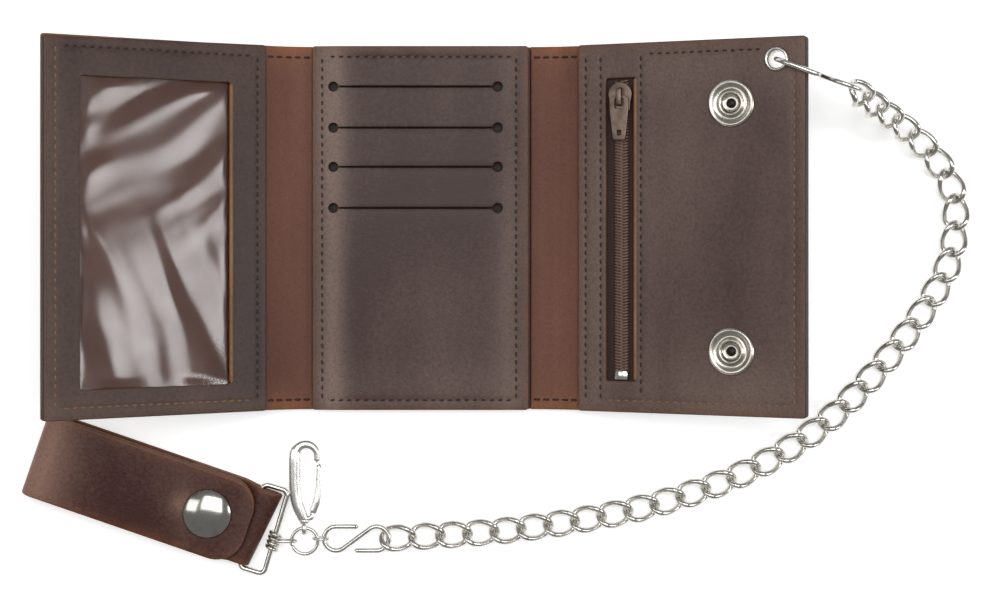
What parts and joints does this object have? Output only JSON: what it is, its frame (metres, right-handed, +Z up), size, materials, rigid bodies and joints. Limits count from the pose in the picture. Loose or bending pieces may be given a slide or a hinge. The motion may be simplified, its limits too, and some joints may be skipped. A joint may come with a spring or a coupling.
{
  "type": "chain wallet",
  "caption": "Tri-fold leather wallet, open, with card slits, clear window and zip pocket, on a curb chain with a clip and a snap-closed leather belt strap.",
  "frame": {"origin": "middle of the underside of the centre section", "axes": "+X across the three sections towards the zip pocket, +Y along the folds towards the eyelet end, +Z up out of the open wallet"},
  "size_m": [0.2971, 0.1665, 0.0428],
  "materials": {
    "outer_leather": "smooth",
    "inner_leather": "smooth",
    "strap_leather": "smooth",
    "clear_film": "clear",
    "zip_cloth": "woven",
    "nickel": "polished",
    "bronze": "antique"
  },
  "bodies": {
    "centre_section": {"outer_cover_centre": "outer_leather", "card_slot_panel": "inner_leather", "fold_left": "outer_leather", "fold_right": "outer_leather"},
    "left_panel": {"outer_cover_left": "outer_leather", "window_frame": "inner_leather", "window_film": "clear_film", "snap_stud_upper": "nickel", "snap_stud_lower": "nickel"},
    "right_panel": {"outer_cover_right": "outer_leather", "coin_pocket_panel": "inner_leather", "zip_tape": "zip_cloth", "snap_socket_upper": "nickel", "snap_socket_lower": "nickel", "chain_eyelet": "nickel"},
    "zip_slider": {"zip_slider": "bronze"},
    "zip_pull": {"zip_pull": "bronze"},
    "wallet_hook": {"wallet_hook": "nickel"},
    "strap_hook": {"strap_hook": "nickel"},
    "jump_ring": {"jump_ring": "nickel"},
    "clip_body": {"clip_body": "nickel"},
    "clip_gate": {"clip_gate": "nickel"},
    "strap_ring": {"strap_ring": "nickel"},
    "belt_strap": {"belt_strap": "strap_leather", "strap_snap_stud": "nickel"},
    "strap_flap": {"strap_flap": "strap_leather", "strap_snap_cap": "nickel"},
    "chain_link_01": {"chain_link_01": "nickel"},
    "chain_link_02": {"chain_link_02": "nickel"},
    "chain_link_03": {"chain_link_03": "nickel"},
    "chain_link_04": {"chain_link_04": "nickel"},
    "chain_link_05": {"chain_link_05": "nickel"},
    "chain_link_06": {"chain_link_06": "nickel"},
    "chain_link_07": {"chain_link_07": "nickel"},
    "chain_link_08": {"chain_link_08": "nickel"},
    "chain_link_09": {"chain_link_09": "nickel"},
    "chain_link_10": {"chain_link_10": "nickel"},
    "chain_link_11": {"chain_link_11": "nickel"},
    "chain_link_12": {"chain_link_12": "nickel"},
    "chain_link_13": {"chain_link_13": "nickel"},
    "chain_link_14": {"chain_link_14": "nickel"},
    "chain_link_15": {"chain_link_15": "nickel"},
    "chain_link_16": {"chain_link_16": "nickel"},
    "chain_link_17": {"chain_link_17": "nickel"},
    "chain_link_18": {"chain_link_18": "nickel"},
    "chain_link_19": {"chain_link_19": "nickel"},
    "chain_link_20": {"chain_link_20": "nickel"},
    "chain_link_21": {"chain_link_21": "nickel"},
    "chain_link_22": {"chain_link_22": "nickel"},
    "chain_link_23": {"chain_link_23": "nickel"},
    "chain_link_24": {"chain_link_24": "nickel"},
    "chain_link_25": {"chain_link_25": "nickel"},
    "chain_link_26": {"chain_link_26": "nickel"},
    "chain_link_27": {"chain_link_27": "nickel"},
    "chain_link_28": {"chain_link_28": "nickel"},
    "chain_link_29": {"chain_link_29": "nickel"},
    "chain_link_30": {"chain_link_30": "nickel"},
    "chain_link_31": {"chain_link_31": "nickel"},
    "chain_link_32": {"chain_link_32": "nickel"},
    "chain_link_33": {"chain_link_33": "nickel"}
  },
  "joints": [
    {"name": "left_fold", "type": "hinge", "parent": "centre_section", "child": "left_panel", "pos_m": [-0.0413, 0, 0.0046], "axis": [0, 1, 0], "range_deg": [-30, 150], "deforming": ["fold_left"]},
    {"name": "right_fold", "type": "hinge", "parent": "centre_section", "child": "right_panel", "pos_m": [0.0413, 0, 0.0081], "axis": [0, -1, 0], "range_deg": [-22, 157], "deforming": ["fold_right"]},
    {"name": "zip_travel", "type": "slide", "parent": "right_panel", "child": "zip_slider", "axis": [0, -1, 0], "range_m": [0, 0.08]},
    {"name": "zip_pull_flip", "type": "hinge", "parent": "zip_slider", "child": "zip_pull", "pos_m": [0.06149, 0.0405, 0.01352], "axis": [-0.9272, 0, -0.3746], "range_deg": [0, 180]},
    {"name": "flap_open", "type": "hinge", "parent": "belt_strap", "child": "strap_flap", "pos_m": [-0.11761, -0.07168, 0.004], "axis": [-0.3256, -0.9455, 0], "range_deg": [0, 150], "deforming": ["strap_flap"]},
    {"name": "clip_gate_press", "type": "hinge", "parent": "clip_body", "child": "clip_gate", "pos_m": [-0.03432, -0.0895, 0.00265], "axis": [0, 0, 1], "range_deg": [0, 14], "stiffness_Nm_per_rad": 0.01},
    {"name": "clip_lift", "type": "hinge", "parent": "jump_ring", "child": "clip_body", "pos_m": [-0.03692, -0.0945, 0.00265], "axis": [1, 0, 0], "range_deg": [0, 90]},
    {"name": "wallet_hook_swing", "type": "hinge", "parent": "right_panel", "child": "wallet_hook", "pos_m": [0.10832, 0.0504, 0.02882], "axis": [-0.3746, 0, 0.9272], "range_deg": [-2, 20]},
    {"name": "jump_ring_tilt", "type": "hinge", "parent": "strap_hook", "child": "jump_ring", "pos_m": [-0.03282, -0.0986, 0.00265], "axis": [0, 1, 0], "range_deg": [-30, 40]},
    {"name": "strap_ring_tilt", "type": "hinge", "parent": "jump_ring", "child": "strap_ring", "pos_m": [-0.04102, -0.0986, 0.00265], "axis": [0, 1, 0], "range_deg": [-25, 25]},
    {"name": "strap_pivot", "type": "hinge", "parent": "strap_ring", "child": "belt_strap", "pos_m": [-0.05378, -0.09366, 0.00265], "axis": [0.284, 0.9588, 0], "range_deg": [-45, 60]},
    {"name": "chain_link_01_bend", "type": "hinge", "parent": "wallet_hook", "child": "chain_link_01", "pos_m": [0.1309, 0.0415, 0.028], "axis": [0.4193, 0.9078, 0], "range_deg": [-4, 25]},
    {"name": "chain_link_02_turn", "type": "hinge", "parent": "chain_link_01", "child": "chain_link_02", "pos_m": [0.13614, 0.03908, 0.02171], "axis": [0, 0, 1], "range_deg": [-2, 25]},
    {"name": "chain_link_03_bend", "type": "hinge", "parent": "chain_link_02", "child": "chain_link_03", "pos_m": [0.14161, 0.03611, 0.01587], "axis": [-0.4558, -0.8901, 0], "range_deg": [-25, 25]},
    {"name": "chain_link_04_turn", "type": "hinge", "parent": "chain_link_03", "child": "chain_link_04", "pos_m": [0.14758, 0.03305, 0.01058], "axis": [0, 0, -1], "range_deg": [-25, 2]},
    {"name": "chain_link_05_bend", "type": "hinge", "parent": "chain_link_04", "child": "chain_link_05", "pos_m": [0.1537, 0.02905, 0.00619], "axis": [0.6324, 0.7747, 0], "range_deg": [-25, 25]},
    {"name": "chain_link_06_turn", "type": "hinge", "parent": "chain_link_05", "child": "chain_link_06", "pos_m": [0.15992, 0.02398, 0.00328], "axis": [0, 0, 1], "range_deg": [-2, 25]},
    {"name": "chain_link_07_bend", "type": "hinge", "parent": "chain_link_06", "child": "chain_link_07", "pos_m": [0.16517, 0.01732, 0.00229], "axis": [-0.9297, -0.3684, 0], "range_deg": [-25, 25]},
    {"name": "chain_link_08_turn", "type": "hinge", "parent": "chain_link_07", "child": "chain_link_08", "pos_m": [0.16831, 0.00938, 0.00229], "axis": [0, 0, -1], "range_deg": [-25, 2]},
    {"name": "chain_link_09_bend", "type": "hinge", "parent": "chain_link_08", "child": "chain_link_09", "pos_m": [0.16834, 0.00084, 0.0023], "axis": [0.9926, -0.1212, 0], "range_deg": [-16, 25]},
    {"name": "chain_link_10_turn", "type": "hinge", "parent": "chain_link_09", "child": "chain_link_10", "pos_m": [0.1673, -0.00763, 0.0023], "axis": [0, 0, 1], "range_deg": [-2, 25]},
    {"name": "chain_link_11_bend", "type": "hinge", "parent": "chain_link_10", "child": "chain_link_11", "pos_m": [0.16453, -0.0157, 0.0023], "axis": [-0.8669, 0.4985, 0], "range_deg": [-25, 25]},
    {"name": "chain_link_12_turn", "type": "hinge", "parent": "chain_link_11", "child": "chain_link_12", "pos_m": [0.16027, -0.0231, 0.0023], "axis": [0, 0, -1], "range_deg": [-25, 2]},
    {"name": "chain_link_13_bend", "type": "hinge", "parent": "chain_link_12", "child": "chain_link_13", "pos_m": [0.15546, -0.03015, 0.0023], "axis": [0.7962, -0.6051, 0], "range_deg": [-25, 25]},
    {"name": "chain_link_14_turn", "type": "hinge", "parent": "chain_link_13", "child": "chain_link_14", "pos_m": [0.15029, -0.03694, 0.0023], "axis": [0, 0, 1], "range_deg": [-2, 25]},
    {"name": "chain_link_15_bend", "type": "hinge", "parent": "chain_link_14", "child": "chain_link_15", "pos_m": [0.14487, -0.04354, 0.0023], "axis": [-0.7495, 0.662, 0], "range_deg": [-25, 25]},
    {"name": "chain_link_16_turn", "type": "hinge", "parent": "chain_link_15", "child": "chain_link_16", "pos_m": [0.13922, -0.04994, 0.0023], "axis": [0, 0, -1], "range_deg": [-25, 2]},
    {"name": "chain_link_17_bend", "type": "hinge", "parent": "chain_link_16", "child": "chain_link_17", "pos_m": [0.13331, -0.0561, 0.0023], "axis": [0.6647, -0.7471, 0], "range_deg": [-25, 25]},
    {"name": "chain_link_18_turn", "type": "hinge", "parent": "chain_link_17", "child": "chain_link_18", "pos_m": [0.12693, -0.06177, 0.0023], "axis": [0, 0, 1], "range_deg": [-2, 25]},
    {"name": "chain_link_19_bend", "type": "hinge", "parent": "chain_link_18", "child": "chain_link_19", "pos_m": [0.12007, -0.06684, 0.0023], "axis": [-0.5356, 0.8445, 0], "range_deg": [-25, 25]},
    {"name": "chain_link_20_turn", "type": "hinge", "parent": "chain_link_19", "child": "chain_link_20", "pos_m": [0.11286, -0.07141, 0.0023], "axis": [0, 0, -1], "range_deg": [-25, 2]},
    {"name": "chain_link_21_bend", "type": "hinge", "parent": "chain_link_20", "child": "chain_link_21", "pos_m": [0.10537, -0.07552, 0.0023], "axis": [0.4154, -0.9096, 0], "range_deg": [-25, 25]},
    {"name": "chain_link_22_turn", "type": "hinge", "parent": "chain_link_21", "child": "chain_link_22", "pos_m": [0.09761, -0.07906, 0.0023], "axis": [0, 0, 1], "range_deg": [-2, 25]},
    {"name": "chain_link_23_bend", "type": "hinge", "parent": "chain_link_22", "child": "chain_link_23", "pos_m": [0.08963, -0.0821, 0.0023], "axis": [-0.3169, 0.9485, 0], "range_deg": [-25, 25]},
    {"name": "chain_link_24_turn", "type": "hinge", "parent": "chain_link_23", "child": "chain_link_24", "pos_m": [0.08153, -0.08481, 0.0023], "axis": [0, 0, -1], "range_deg": [-25, 2]},
    {"name": "chain_link_25_bend", "type": "hinge", "parent": "chain_link_24", "child": "chain_link_25", "pos_m": [0.07334, -0.08721, 0.0023], "axis": [0.2354, -0.9719, 0], "range_deg": [-25, 25]},
    {"name": "chain_link_26_turn", "type": "hinge", "parent": "chain_link_25", "child": "chain_link_26", "pos_m": [0.06505, -0.08922, 0.0023], "axis": [0, 0, 1], "range_deg": [-2, 25]},
    {"name": "chain_link_27_bend", "type": "hinge", "parent": "chain_link_26", "child": "chain_link_27", "pos_m": [0.05668, -0.0909, 0.0023], "axis": [-0.1715, 0.9852, 0], "range_deg": [-25, 25]},
    {"name": "chain_link_28_turn", "type": "hinge", "parent": "chain_link_27", "child": "chain_link_28", "pos_m": [0.04827, -0.09237, 0.00229], "axis": [0, 0, -1], "range_deg": [-25, 2]},
    {"name": "chain_link_29_bend", "type": "hinge", "parent": "chain_link_28", "child": "chain_link_29", "pos_m": [0.03983, -0.09365, 0.00228], "axis": [0.1301, -0.9915, 0], "range_deg": [-25, 25]},
    {"name": "chain_link_30_turn", "type": "hinge", "parent": "chain_link_29", "child": "chain_link_30", "pos_m": [0.03136, -0.09476, 0.00228], "axis": [0, 0, 1], "range_deg": [-2, 25]},
    {"name": "chain_link_31_bend", "type": "hinge", "parent": "chain_link_30", "child": "chain_link_31", "pos_m": [0.02288, -0.09568, 0.00232], "axis": [-0.0777, 0.997, 0], "range_deg": [-25, 25]},
    {"name": "chain_link_32_turn", "type": "hinge", "parent": "chain_link_31", "child": "chain_link_32", "pos_m": [0.01437, -0.09634, 0.00238], "axis": [0, 0, -1], "range_deg": [-25, 2]},
    {"name": "chain_link_33_bend", "type": "hinge", "parent": "chain_link_32", "child": "chain_link_33", "pos_m": [0.00585, -0.09685, 0.00247], "axis": [0.0533, -0.9986, 0], "range_deg": [-25, 25]},
    {"name": "strap_hook_turn", "type": "hinge", "parent": "chain_link_33", "child": "strap_hook", "pos_m": [-0.01182, -0.09784, 0.00266], "axis": [0, 0, 1], "range_deg": [-2, 25]}
  ]
}
